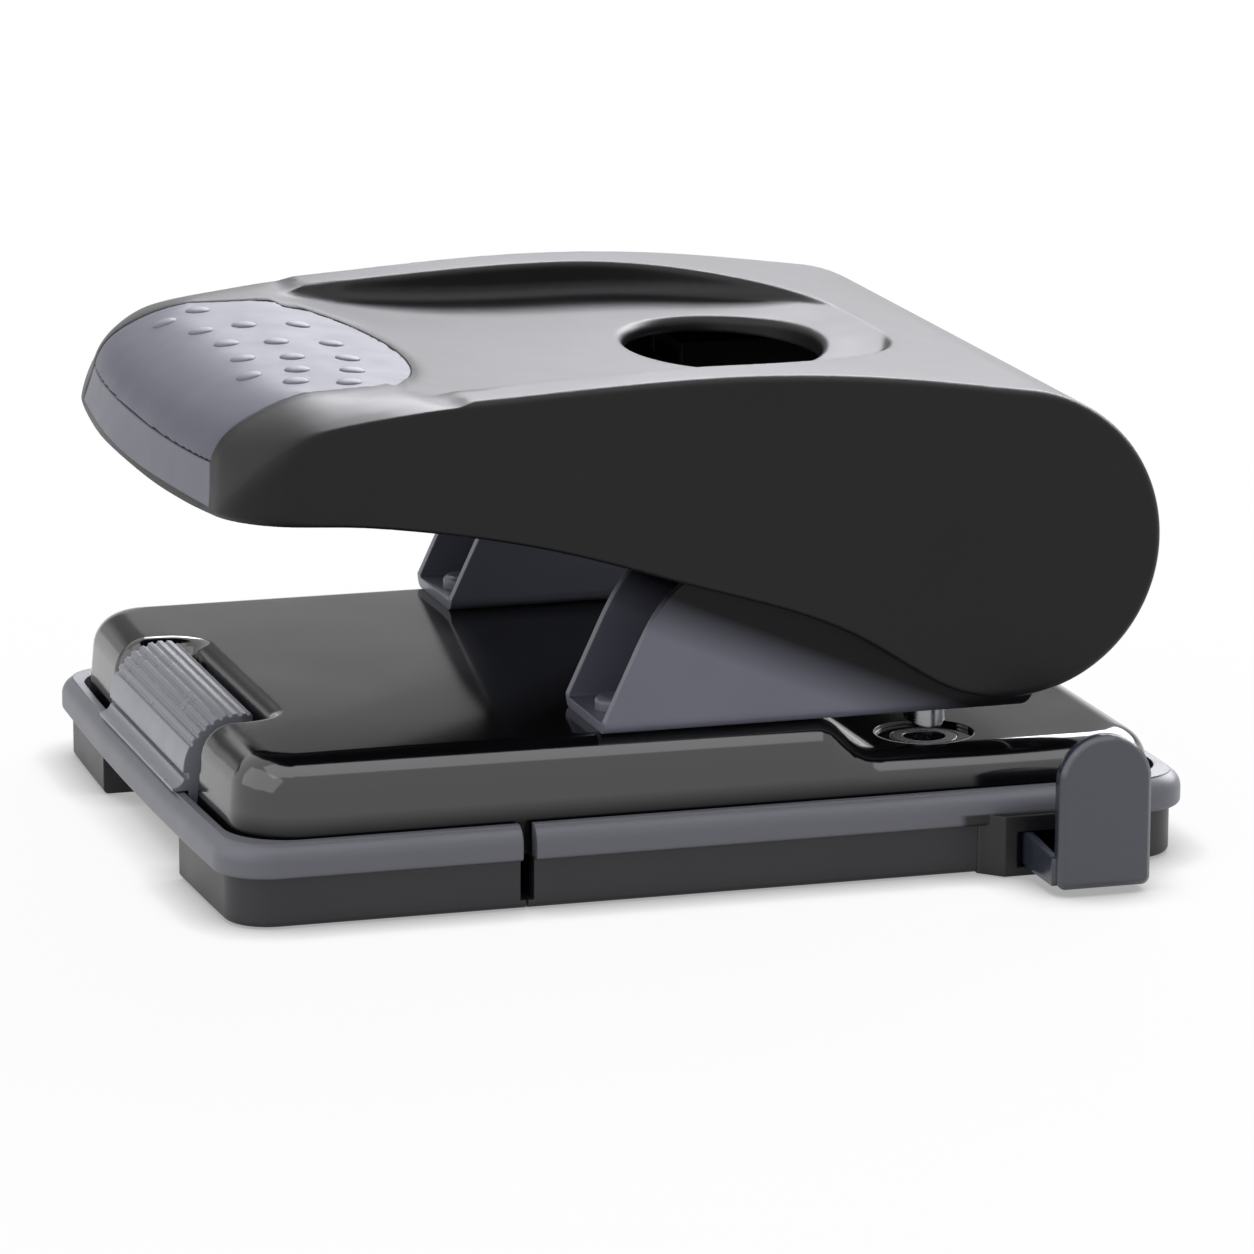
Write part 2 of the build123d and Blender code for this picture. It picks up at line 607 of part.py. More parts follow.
def dish_cutter():
    """The channel between the side rails, with a round rear end."""
    with BuildSketch() as plan:
        with BuildLine():
            Polyline(
                (-DISH_HALF, DISH_END_Y), (-DISH_HALF, NOSE_FRONT), (DISH_HALF, NOSE_FRONT),
                (DISH_HALF, DISH_END_Y),
            )
            EllipticalCenterArc((0, DISH_END_Y), DISH_HALF, DISH_REAR - DISH_END_Y, arc_size=180)
        make_face()
    with BuildSketch(Plane.YZ) as floor:
        with BuildLine():
            Spline(
                [(NOSE_FRONT, CREST_Z + 3), (-77, NOSE_TOP_Z + 0.4), (-66, DISH_FLOOR + 1.5),
                 (-50, DISH_FLOOR + 0.2), (-20, DISH_FLOOR), (-6, DISH_FLOOR + 0.5),
                 (DISH_REAR, CREST_Z - 2.0), (DISH_REAR + 8, CREST_Z + 3)],
            )
            Polyline(
                (DISH_REAR + 8, CREST_Z + 3), (DISH_REAR + 8, 90), (NOSE_FRONT, 90),
                (NOSE_FRONT, CREST_Z + 3)
            )
        make_face()
    channel = side_extrusion(floor.sketch) & extrude(Pos(0, 0, 40) * plan.sketch, 60)
    hollow = [e for e in channel.edges() if e.center().Z < CREST_Z and e.bounding_box().size.Y > 1]
    return fillet(hollow, DISH_BLEND)


def thumb_hole():
    return extrude(Pos(0, HOLE_Y, CEILING - 9) * Ellipse(HOLE_HALF_X, HOLE_HALF_Y), 30)


def handle_form():
    form = side_extrusion(handle_profile()) & extrude(handle_plan(0), 90)
    form = form.clean()
    rim = [e for e in form.edges()
           if abs(e.center().X) > 30 and e.bounding_box().size.Y > 0.3 and e.length > 2.5]
    return fillet(rim, HANDLE_EDGE) & nose_trim()


def dished_form():
    form = handle_form() - dish_cutter()
    rails = [e for e in form.edges() if e.center().Z > NOSE_TOP_Z and e.length > 20
             and 30 < abs(e.center().X) < DISH_HALF + 1 and e.center().Y > -75]
    return fillet(rails, DISH_LIP)


def handle_cavity():
    """The hollow under the shell: open below, closed round the nose, sides and rear."""
    ear = (EAR_Y, EAR_Z)
    radius = EAR_R - HANDLE_WALL
    rear_low, rear_mid = polar(ear, radius, -22), polar(ear, radius, 20)
    roof_rear = polar(ear, radius, 66)
    front = NOSE_SEAM_Y + 2.2
    with BuildSketch(Plane.YZ) as view:
        with BuildLine():
            Polyline(
                roof_rear, (EAR_Y - 8, CEILING), (NOSE_TOP_Y + 4, CEILING), (front + 2, CEILING - 6),
                (front, 10), (rear_low[0], 10), rear_low,
            )
            ThreePointArc(rear_low, rear_mid, roof_rear)
        make_face()
    return side_extrusion(view.sketch) & extrude(handle_plan(HANDLE_WALL), 90)


def pad_prism(grow):
    """Outline of the grip pad in plan, a tongue with an elliptical tip."""
    end_half, half, front = PAD_END_HALF + grow, PAD_HALF + grow, NOSE_FRONT - 5
    with BuildSketch() as plan:
        with BuildLine():
            Polyline(
                (-end_half, PAD_END_Y), (-half, NOSE_TOP_Y - 5), (-half, front),
                (half, front), (half, NOSE_TOP_Y - 5), (end_half, PAD_END_Y),
            )
            EllipticalCenterArc((0, PAD_END_Y), end_half, PAD_TIP + grow, arc_size=180)
        make_face()
    return extrude(Pos(0, 0, NOSE_SEAM_Z - grow) * plan.sketch, 30)


def grip_dots(form, core):
    """Low round domes, each the top of a ball sunk into the pad."""
    ball_r = (DOT_R ** 2 + DOT_HEIGHT ** 2) / (2 * DOT_HEIGHT)
    dots = Part()
    for row, places in DOT_ROWS:
        for x in places:
            plumb = Axis((x, row - DOT_BOW * x * x, CREST_Z + 20), (0, 0, -1))
            point, normal = max(form.find_intersection_points(plumb), key=lambda hit: hit[0].Z)
            centre = point - normal * (ball_r - DOT_HEIGHT)
            dots += Pos(*centre) * Sphere(ball_r) - core
    return dots


def band_prism(grow):
    """Front view of the nose band, wider at its lower edge."""
    low, seam = PAD_HALF + 3.2 + grow, PAD_HALF + grow
    with BuildSketch(Plane.XZ) as view:
        with BuildLine():
            Polyline(
                (-low, NOSE_LOW_Z + 0.9), (low, NOSE_LOW_Z + 0.9), (seam, NOSE_SEAM_Z - PAD_GROOVE),
                (-seam, NOSE_SEAM_Z - PAD_GROOVE), (-low, NOSE_LOW_Z + 0.9),
            )
        make_face()
    return extrude(view.sketch, -NOSE_TOP_Y + 40) & block(-90, 90, -150, NOSE_SEAM_Y + 2.4, 0, 90)


def handle_parts():
    form = dished_form()
    core = Pos(0, PAD_THICK, -PAD_THICK) * form
    skin = form - core
    pad = (skin & pad_prism(0)) + grip_dots(form, core)
    band = skin & band_prism(0)
    shell = form - handle_cavity()
    shell -= thumb_hole()
    lip = [e for e in shell.edges() if abs(e.bounding_box().size.Y - 2 * HOLE_HALF_Y) < 0.2
           and e.center().Z > CEILING + 1]
    shell = fillet(lip, HOLE_LIP)
    shell -= (form & pad_prism(PAD_GROOVE)) - core
    shell -= (form & band_prism(PAD_GROOVE)) - core
    for _, x in SIDES:
        for y in SCREW_PLACES:
            shell += rod(BOSS_R, LEVER_TOP, CEILING + 0.5, x, y)
            shell -= rod(SCREW_R + SEAT, 0, CEILING, x, y)
    return shell, pad, band


# ---- latch --------------------------------------------------------------------------------
def latch_profile():
    """Side view: a round back, a groove across the front and a foot over the rim."""
    centre = (LATCH_Y, LATCH_Z)
    rear_y = LATCH_Y + LATCH_REAR
    shoulder = (rear_y, LATCH_Z + math.sqrt(LATCH_R ** 2 - LATCH_REAR ** 2))
    front_y, foot_y = LATCH_Y - LATCH_R, LATCH_Y - LATCH_R - LATCH_FOOT
    low = RIM_TOP + 0.25
    with BuildSketch(Plane.YZ) as view:
        with BuildLine():
            ThreePointArc(shoulder, polar(centre, LATCH_R, 125), (front_y, LATCH_Z))
            Polyline(
                (front_y, LATCH_Z), (front_y + 0.8, LATCH_Z), (front_y + 0.8, LATCH_Z - 0.9),
                (front_y + 0.1, LATCH_Z - 0.9),
            )
            ThreePointArc(
                (front_y + 0.1, LATCH_Z - 0.9), (front_y - 0.35, low + 1.0), (foot_y, low + 0.5)
            )
            Polyline(
                (foot_y, low + 0.5), (foot_y, low), (front_y + 0.8, low), (front_y + 0.8, low - 2.2),
                (rear_y, low - 2.2), shoulder,
            )
        make_face()
        fillet([v for v in view.vertices() if v.Y > LATCH_Z + 2 and v.X > LATCH_Y], 1.2)
    return view.sketch


def latch_hollow():
    centre = (LATCH_Y, LATCH_Z)
    radius, rear_y = LATCH_R - LATCH_WALL, LATCH_Y + LATCH_REAR - LATCH_WALL
    shoulder = (rear_y, LATCH_Z + math.sqrt(radius ** 2 - (rear_y - LATCH_Y) ** 2))
    front = (LATCH_Y - radius, LATCH_Z)
    with BuildSketch(Plane.YZ) as view:
        with BuildLine():
            ThreePointArc(shoulder, polar(centre, radius, 125), front)
            Polyline(front, (front[0], -5), (rear_y, -5), shoulder)
        make_face()
    return view.sketch


def tray_latch():
    rear_y = LATCH_Y + LATCH_REAR
    footprint = block(-LATCH_HALF, LATCH_HALF, rear_y - 3 * LATCH_R, rear_y, 0, LATCH_Z + 2 * LATCH_R)
    corners = [e for e in footprint.edges().filter_by(Axis.Z) if e.center().Y > LATCH_Y]
    body = side_extrusion(latch_profile(), LATCH_HALF) & fillet(corners, LATCH_CORNER_R)
    body -= side_extrusion(latch_hollow(), LATCH_HALF - LATCH_WALL)
    for number in range(LATCH_GROOVES):
        angle = LATCH_FIRST_GROOVE + number * LATCH_GROOVE_STEP
        y, z = polar((LATCH_Y, LATCH_Z), LATCH_R, angle)
        body -= cross_rod(LATCH_GROOVE_R, -LATCH_HALF - 1, LATCH_HALF + 1, y, z)
    for x in (-LATCH_LEG_X, LATCH_LEG_X):
        body += axle_ear(x, LATCH_AXLE_Z, LATCH_Z + 0.68 * LATCH_R, FIT)
    return body


def latch_pin():
    reach = LATCH_EAR_X + EAR_THICK / 2
    return cross_rod(LATCH_AXLE_R, -reach, reach, LATCH_AXLE_Y, LATCH_AXLE_Z)


# ---- paper guide ------------------------------------------------------------------------------
def paper_guide():
    low, high = GUIDE_Y - GUIDE_WIDTH / 2, GUIDE_Y + GUIDE_WIDTH / 2
    plate_in = GUIDE_FACE - PLATE_THICK
    arm = block(GUIDE_INNER, plate_in + 0.5, low, high, GUIDE_Z, GUIDE_TOP)
    arm -= block(
        GUIDE_INNER - 1, plate_in - 1, low + GUIDE_WALL, high - GUIDE_WALL,
        GUIDE_Z + GUIDE_WALL, GUIDE_TOP + 1,
    )
    housing_face = TRAY_HALF + HOUSING_OUT
    with BuildSketch(Plane.XZ) as slope:
        with BuildLine():
            Polyline(
                (housing_face, GUIDE_TOP), (GUIDE_FACE, GUIDE_TOP - GUIDE_SLOPE),
                (GUIDE_FACE, GUIDE_TOP + 1), (housing_face, GUIDE_TOP),
            )
        make_face()
    arm -= extrude(slope.sketch, 60, both=True)
    count = int((TRAY_HALF - GUIDE_INNER - 12) / NOTCH_PITCH)
    for number in range(count):
        x = GUIDE_INNER + (1 + number) * NOTCH_PITCH
        arm -= Pos(x, high, GUIDE_TOP) * Rot(90, 0, 0) * Cylinder(0.8, 6)
    radius, middle = PLATE_WIDTH / 2, GUIDE_Y + PLATE_SHIFT
    with BuildSketch(Plane.YZ) as view:
        with Locations((middle, PLATE_LOW + (PLATE_TOP - radius - PLATE_LOW) / 2)):
            Rectangle(PLATE_WIDTH, PLATE_TOP - radius - PLATE_LOW)
        fillet([v for v in view.vertices() if v.Y < PLATE_LOW + 1], 1.2)
        with Locations((middle, PLATE_TOP - radius)):
            Circle(radius)
    plate = Pos(plate_in, 0, 0) * extrude(view.sketch, PLATE_THICK)
    faces = plate.faces().sort_by(Axis.X)
    plate = chamfer(faces[-1].edges(), 0.7)
    return arm + plate


def guide_detent():
    """A leaf spring on the rear rail whose bump rests in the arm's notches."""
    y = GUIDE_Y + GUIDE_WIDTH / 2 - GUIDE_WALL / 2
    top = GUIDE_TOP + 0.9
    start, end = DETENT_X - DETENT_LENGTH, DETENT_X + 2
    leaf = block(start, end, y - 1.0, y + 2.6, top, top + 0.4)
    leaf += block(start, start + 4, y + 1.0, y + 2.6, GUIDE_TOP, top)
    return leaf + Pos(DETENT_X, y, top) * Rot(90, 0, 0) * Cylinder(0.7, 2)


def main():
    os.makedirs("parts", exist_ok=True)
    tray = whole_tray()
    shell, pad, band = handle_parts()
    parts = {
        "base_cover": base_cover(),
        "tray_front": tray_front(tray),
        "tray_rear": tray_rear(tray),
        "tray_latch": tray_latch(),
        "latch_pin": latch_pin(),
        "handle_shell": shell,
        "grip_pad": pad,
        "nose_band": band,
        "lever_screws": lever_screws(),
        "paper_guide": paper_guide(),
        "guide_detent": guide_detent(),
    }
    pairs = {
        "bracket": bracket(),
        "bracket_rivets": bracket_rivets(),
        "pivot_pin": pivot_pin(),
        "press_lever": press_lever(),
        "press_roller": press_roller(),
        "punch_pin": punch_pin(),
        "pin_collar": ring(COLLAR_R, PUNCH_R + SEAT, SPRING_HIGH, SPRING_HIGH + COLLAR_HEIGHT),
        "pin_bush": ring(BUSH_R, PUNCH_R + FIT, HIGH_TOP, HIGH_TOP + BUSH_HEIGHT),
        "spring_washer": ring(COLLAR_R, BUSH_R + SEAT, WEB_TOP, SPRING_LOW),
        "pin_spring": pin_spring(),
        "die": die(),
    }
    for side, x in SIDES:
        for name, solid in pairs.items():
            parts[f"{name}_{side}"] = Pos(x, 0, 0) * solid
    for name, solid in parts.items():
        export_step(solid, f"parts/{name}.step")


main()
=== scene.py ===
"""Two-hole desk punch: finishes, fine detail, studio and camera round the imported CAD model."""
import json
import math

import bpy
from mathutils import Matrix, Vector
from mathutils.bvhtree import BVHTree


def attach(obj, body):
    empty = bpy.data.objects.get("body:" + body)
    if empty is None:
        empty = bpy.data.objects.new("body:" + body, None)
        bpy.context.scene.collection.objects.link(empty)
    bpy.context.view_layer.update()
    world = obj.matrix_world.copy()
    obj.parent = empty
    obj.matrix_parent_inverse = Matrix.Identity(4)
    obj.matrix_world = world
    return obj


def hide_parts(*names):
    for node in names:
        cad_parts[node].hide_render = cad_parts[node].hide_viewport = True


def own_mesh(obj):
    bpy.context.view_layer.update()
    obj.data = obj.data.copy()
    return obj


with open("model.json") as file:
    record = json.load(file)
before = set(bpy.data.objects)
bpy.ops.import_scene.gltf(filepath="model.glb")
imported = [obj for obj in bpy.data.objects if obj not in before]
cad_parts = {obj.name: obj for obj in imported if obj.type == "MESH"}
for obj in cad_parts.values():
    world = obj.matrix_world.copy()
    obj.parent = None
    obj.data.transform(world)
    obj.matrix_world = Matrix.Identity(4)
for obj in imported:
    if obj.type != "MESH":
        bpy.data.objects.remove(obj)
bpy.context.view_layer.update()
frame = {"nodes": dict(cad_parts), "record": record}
nodes = frame["nodes"]
bpy.ops.object.select_all(action="DESELECT")

MM = 0.001
SAME_POINT = 0.002 * MM                  # corners of neighbouring faces that count as one
NODE_EDGE = math.radians(28)             # edges of the solids sharper than this stay crisp
PIECE_EDGE = math.radians(50)            # the same for the pad's skin and the springs
DOT_EDGE = math.radians(40)              # the same for the dots


# ---- nodes of materials -----------------------------------------------------------
def linear(hex_colour):
    """An sRGB hex colour as the linear RGBA that Blender's sockets take."""
    values = [int(hex_colour[i:i + 2], 16) / 255 for i in (1, 3, 5)]
    values = [v / 12.92 if v <= 0.04045 else ((v + 0.055) / 1.055) ** 2.4 for v in values]
    return (*values, 1.0)


def add(tree, kind, settings=None, links=None):
    """Adds one node; links feeds its inputs from other nodes' outputs or sets plain values."""
    node = tree.nodes.new(kind)
    for name, value in (settings or {}).items():
        setattr(node, name, value)
    for socket, value in (links or {}).items():
        if isinstance(value, bpy.types.NodeSocket):
            tree.links.new(value, node.inputs[socket])
        else:
            node.inputs[socket].default_value = value
    return node


def maths(tree, operation, *values):
    """One step of arithmetic on numbers or outputs."""
    return add(tree, "ShaderNodeMath", {"operation": operation}, dict(enumerate(values))).outputs[0]


def axes(tree, vector):
    """The X, Y and Z of a vector, by name."""
    return add(tree, "ShaderNodeSeparateXYZ", links={"Vector": vector}).outputs


def ranged(tree, source, start, end, low, high):
    """source, start to end, spread over the values low to high."""
    return add(tree, "ShaderNodeMapRange", links={
        "Value": source, "From Min": start, "From Max": end, "To Min": low, "To Max": high,
    }).outputs[0]


def fade(tree, source, from_mm, to_mm):
    """1 where source is below from_mm, falling to 0 at to_mm."""
    return ranged(tree, source, from_mm * MM, to_mm * MM, 1.0, 0.0)


def mixed(tree, share, low, high):
    """The colour low at share 0 and high at share 1."""
    return add(tree, "ShaderNodeMix", {"data_type": "RGBA"}, {
        "Factor": share, 6: low, 7: high,
    }).outputs[2]


def new_material(name, colour, roughness, metallic=0.0, specular=0.5):
    """A Principled material; returns the material, its tree, its shader and object coordinates."""
    material = bpy.data.materials.new(name)
    material.use_nodes = True
    material.diffuse_color = linear(colour)
    tree = material.node_tree
    tree.nodes.clear()
    shader = add(tree, "ShaderNodeBsdfPrincipled", links={
        "Base Color": linear(colour), "Roughness": roughness, "Metallic": metallic,
        "Specular IOR Level": specular,
    })
    add(tree, "ShaderNodeOutputMaterial", links={"Surface": shader.outputs[0]})
    place = add(tree, "ShaderNodeTexCoord").outputs["Object"]
    return material, tree, shader, place


def spread(tree, place, size_mm, detail=2.0):
    """A soft noise whose blotches or grains are about size_mm across."""
    return add(tree, "ShaderNodeTexNoise", links={
        "Vector": place, "Scale": 1.0 / (size_mm * MM), "Detail": detail, "Roughness": 0.5,
    }).outputs["Fac"]


def graded(tree, noise, low, high):
    """A noise, which stays near 0.3 to 0.7, spread over the values low to high."""
    return ranged(tree, noise, 0.3, 0.7, low, high)


def tinted(tree, noise, low, high):
    """A colour between two hex colours, by a noise or a mask."""
    return mixed(tree, graded(tree, noise, 0.0, 1.0), linear(low), linear(high))


def patchy(tree, shader, place, size_mm, low, high, detail=2.0):
    """Roughness that drifts between low and high in soft patches about size_mm across."""
    noise = spread(tree, place, size_mm, detail)
    tree.links.new(graded(tree, noise, low, high), shader.inputs["Roughness"])


def bumped(tree, shader, height, distance_mm, strength=1.0, edge_mm=0.3):
    """Fine relief from a pattern, on faces whose sharp edges are rounded by edge_mm."""
    edges = add(tree, "ShaderNodeBevel", {"samples": 6}, {"Radius": edge_mm * MM})
    bump = add(tree, "ShaderNodeBump", links={
        "Height": height, "Distance": distance_mm * MM, "Strength": strength,
        "Normal": edges.outputs[0],
    })
    tree.links.new(bump.outputs[0], shader.inputs["Normal"])
    return edges


# ---- finishes ---------------------------------------------------------------------
HANDLE_EDGE, NOSE_EDGE = 0.8, 4.0        # mm, radius of the handle's edges and of its blended nose
NOSE_TIP = -97, -91                      # mm along Y, where the blend of the nose's tip ends
NOSE_TOP = -67, -63                      # mm along Y, where the blend of the nose's top ends
INSIDE_RAILS = 43, 47                    # mm from the middle, where the same blend ends sideways
HOUSING_SIDE = 54.2, 54.8                # mm along X, from the tray's wall to the guide's housing
HOUSING_FRONT = 0.0, 1.2                 # mm along Y
HOUSING_REAR = 24.6, 25.4                # mm along Y
HOUSING_TOP = 8.8, 9.1                   # mm along Z
RIM_LIGHT_FOOT = 7.2, 7.6                      # mm along Z, where the rim's painted light begins: above it the tray is painted lighter
COVER_FOOT = 12.0, 15.0                  # mm along Z, where painted shade dims the gloss of the cover's walls
UPRIGHT = 0.2, 0.6                       # share of a normal that points up, from walls to tops
SHADE_LINE_FALL = 0.42                    # how steeply the handle's underside falls to the rear; the edge of the painted shade on the brackets follows it
UNDER_HANDLE_SHADE = 18.4, 25.0                   # mm: Z + fall * Y, from full colour to painted shade under the handle
FOOT_SHADE_SPECULAR = 0.12                              # specular level in the painted shade at the foot of the cover's walls
SHADED_SPECULAR, OPEN = 0.15, 0.5                # specular level of the brackets, in the painted shade under the handle and outside it
NORMAL_WEIGHT = 60                       # how much larger faces steer the shading of smaller ones


def blended_nose(tree, place, edges):
    """Wide soft edges at the nose's tip and on its top inside the rails, small ones elsewhere."""
    spot = axes(tree, place)
    inside = fade(tree, maths(tree, "ABSOLUTE", spot["X"]), *INSIDE_RAILS)
    top = maths(tree, "MULTIPLY", fade(tree, spot["Y"], *NOSE_TOP), inside)
    nose = maths(tree, "MAXIMUM", fade(tree, spot["Y"], *NOSE_TIP), top)
    radius = ranged(tree, nose, 0.0, 1.0, HANDLE_EDGE * MM, NOSE_EDGE * MM)
    tree.links.new(radius, edges.inputs["Radius"])


def moulded_abs():
    """Black ABS from a finely eroded mould: even satin sheen, brighter where it is seen edge on."""
    material, tree, shader, place = new_material(
        "abs_black_satin_moulded", "#0c0c0e", roughness=0.36, specular=0.28)
    shade = tinted(tree, spread(tree, place, size_mm=30.0), "#0b0b0d", "#0f0f11")
    tree.links.new(shade, shader.inputs["Base Color"])
    patchy(tree, shader, place, size_mm=18.0, low=0.36, high=0.41)
    relief = spread(tree, place, size_mm=0.35, detail=3.0)
    edges = bumped(tree, shader, relief, distance_mm=0.006, strength=0.5)
    blended_nose(tree, place, edges)
    return material


def soft_grip(name, low, high):
    """Soft-touch elastomer moulded over the nose: matt blue-grey with a dusty bloom."""
    material, tree, shader, place = new_material(name, low, roughness=0.5)
    bloom = tinted(tree, spread(tree, place, size_mm=9.0, detail=4.0), low, high)
    tree.links.new(bloom, shader.inputs["Base Color"])
    patchy(tree, shader, place, size_mm=6.0, low=0.47, high=0.53)
    relief = spread(tree, place, size_mm=0.5, detail=4.0)
    bumped(tree, shader, relief, distance_mm=0.012, strength=0.6, edge_mm=0.4)
    return material


def gloss_enamel():
    """Stoved black enamel on steel: deep gloss, faint orange peel, and painted shade that dims the
    walls' reflection at their foot.
    """
    material, tree, shader, place = new_material(
        "enamel_black_stoved_steel", "#0b0b0d", roughness=0.12, specular=1.0)
    facing = axes(tree, add(tree, "ShaderNodeNewGeometry").outputs["Normal"])["Z"]
    wall = ranged(tree, facing, *UPRIGHT, 1.0, 0.0)
    # painted shade: the specular level falls towards the foot of the upright walls, darkening their
    # reflection there
    foot = maths(tree, "MULTIPLY", fade(tree, axes(tree, place)["Z"], *COVER_FOOT), wall)
    tree.links.new(ranged(tree, foot, 0.0, 1.0, 1.0, FOOT_SHADE_SPECULAR), shader.inputs["Specular IOR Level"])
    patchy(tree, shader, place, size_mm=14.0, low=0.09, high=0.11)
    relief = spread(tree, place, size_mm=2.4, detail=1.0)
    bumped(tree, shader, relief, distance_mm=0.004, strength=0.35)
    return material


def grey_enamel():
    """Semi-gloss blue-grey enamel on folded steel: pebbled, with painted shade under the handle,
    where its colour turns near black and its reflection weakens.
    """
    material, tree, shader, place = new_material(
        "enamel_graphite_folded_steel", "#646672", roughness=0.34)
    spot = axes(tree, place)
    # painted shade: under the handle's edge the enamel is mixed to near black #111114 and its
    # specular level lowered
    height = maths(tree, "MULTIPLY_ADD", spot["Y"], SHADE_LINE_FALL, spot["Z"])
    outside_painted_shade = fade(tree, height, *UNDER_HANDLE_SHADE)
    coat = tinted(tree, spread(tree, place, size_mm=22.0), "#696b77", "#6f717e")
    tree.links.new(mixed(tree, outside_painted_shade, linear("#111114"), coat), shader.inputs["Base Color"])
    level = ranged(tree, outside_painted_shade, 0.0, 1.0, SHADED_SPECULAR, OPEN)
    tree.links.new(level, shader.inputs["Specular IOR Level"])
    patchy(tree, shader, place, size_mm=10.0, low=0.30, high=0.38)
    relief = spread(tree, place, size_mm=1.1, detail=2.0)
    bumped(tree, shader, relief, distance_mm=0.006, strength=0.4)
    return material


def beside_housing(tree, spot):
    """1 all over the tray, 0 on the housing of the paper guide."""
    behind = maths(tree, "SUBTRACT", 1.0, fade(tree, spot["Y"], *HOUSING_REAR))
    above = maths(tree, "SUBTRACT", 1.0, fade(tree, spot["Z"], *HOUSING_TOP))
    share = fade(tree, spot["Y"], *HOUSING_FRONT)
    for other in (behind, above, fade(tree, spot["X"], *HOUSING_SIDE)):
        share = maths(tree, "MAXIMUM", share, other)
    return share


def tray_polythene():
    """Flexible moulded polythene: grey rim painted lighter as if lit from above, walls below it
    painted darker as shade under the rim, black guide housing.
    """
    material, tree, shader, place = new_material(
        "polythene_dark_grey_moulded", "#3b3c40", roughness=0.42)
    spot = axes(tree, place)
    body = beside_housing(tree, spot)
    # painted light and shade: the rim gets the lighter #6a6b72, as if lit from above, and the wall
    # below it the darker #212225, as shade under the rim; the housing's black is its own colour
    walls = tinted(tree, body, "#0c0c0e", "#212225")
    rim = ranged(tree, spot["Z"], RIM_LIGHT_FOOT[0] * MM, RIM_LIGHT_FOOT[1] * MM, 0.0, 1.0)
    shade = mixed(tree, maths(tree, "MULTIPLY", rim, body), walls, linear("#6a6b72"))
    tree.links.new(shade, shader.inputs["Base Color"])
    patchy(tree, shader, place, size_mm=12.0, low=0.38, high=0.47)
    relief = spread(tree, place, size_mm=0.6, detail=3.0)
    bumped(tree, shader, relief, distance_mm=0.010, strength=0.5)
    return material


def latch_abs():
    """Ribbed ABS key: a paler grey than the tray's rim and glossier, from a polished mould."""
    material, tree, shader, place = new_material(
        "abs_dark_grey_polished_mould", "#82848c", roughness=0.34)
    patchy(tree, shader, place, size_mm=8.0, low=0.26, high=0.34)
    relief = spread(tree, place, size_mm=0.5, detail=3.0)
    bumped(tree, shader, relief, distance_mm=0.006, strength=0.5)
    return material


def guide_abs():
    """Blue-grey ABS of the paper guide: glossy faces with light catching its bevelled rim."""
    material, tree, shader, place = new_material(
        "abs_slate_blue_moulded", "#353945", roughness=0.16, specular=0.8)
    patchy(tree, shader, place, size_mm=7.0, low=0.14, high=0.19)
    relief = spread(tree, place, size_mm=0.5, detail=3.0)
    bumped(tree, shader, relief, distance_mm=0.005, strength=0.5, edge_mm=0.9)
    return material


def ground_steel():
    """Centreless-ground hardened steel: bright, with fine turning lines round each pin."""
    material, tree, shader, place = new_material(
        "steel_hardened_ground", "#8d8e92", roughness=0.22, metallic=1.0)
    flattened = add(tree, "ShaderNodeMapping", links={"Vector": place, "Scale": (1.0, 1.0, 14.0)})
    lines = spread(tree, flattened.outputs[0], size_mm=1.6, detail=4.0)
    tree.links.new(graded(tree, lines, low=0.16, high=0.32), shader.inputs["Roughness"])
    bumped(tree, shader, lines, distance_mm=0.002, strength=0.3)
    return material


def plated_steel():
    """Zinc-plated steel washers: a soft grey metal with cloudy patches."""
    material, tree, shader, place = new_material(
        "steel_zinc_plated", "#8d9096", roughness=0.34, metallic=1.0)
    clouds = spread(tree, place, size_mm=1.4, detail=3.0)
    tree.links.new(tinted(tree, clouds, "#7d8087", "#a0a3a8"), shader.inputs["Base Color"])
    tree.links.new(graded(tree, clouds, low=0.28, high=0.42), shader.inputs["Roughness"])
    return material


def spring_wire():
    """Oil-tempered spring steel of the coils and the detent: dark, with a dull uneven shine."""
    material, tree, shader, place = new_material(
        "steel_spring_wire_drawn", "#6d6f74", roughness=0.38, metallic=1.0)
    patchy(tree, shader, place, size_mm=0.4, low=0.30, high=0.48, detail=4.0)
    return material


FINISHES = {
    "cover_paint": gloss_enamel(),
    "bracket_paint": grey_enamel(),
    "handle_plastic": moulded_abs(),
    "grip_soft": soft_grip("tpe_blue_grey_soft_touch", "#515360", "#565864"),
    "tray_plastic": tray_polythene(),
    "latch_plastic": latch_abs(),
    "guide_plastic": guide_abs(),
    "pin_steel": ground_steel(),
    "rivet_steel": plated_steel(),
    "spring_steel": spring_wire(),
}
# painted highlight: the dots are given a paler blue-grey than the pad, standing in for the light
# they catch
DOT_HIGHLIGHT_FINISH = soft_grip("tpe_blue_grey_dots_painted_highlight", "#6c6e7a", "#72747f")
# painted light: the nose band is the pad's material given a paler blue-grey, standing in for the
# light from the front
BAND_LIGHT_FINISH = soft_grip("tpe_blue_grey_soft_touch_painted_light", "#64666f", "#696b74")


def finish_cad_nodes():
    """Gives each CAD node its finish and shades its curved faces smoothly up to its real edges."""
    slots = {part["node"]: part["material_slot"] for part in frame["record"]["subparts"]}
    for name, node in nodes.items():
        node.data.materials.clear()
        node.data.materials.append(BAND_LIGHT_FINISH if name == "nose_band" else FINISHES[slots[name]])
        for face in node.data.polygons:
            face.use_smooth = True
        weld = node.modifiers.new("weld", "WELD")
        weld.merge_threshold = SAME_POINT
        split = node.modifiers.new("edges", "EDGE_SPLIT")
        split.split_angle = NODE_EDGE
        normals = node.modifiers.new("normals", "WEIGHTED_NORMAL")
        normals.weight = NORMAL_WEIGHT
        normals.keep_sharp = True


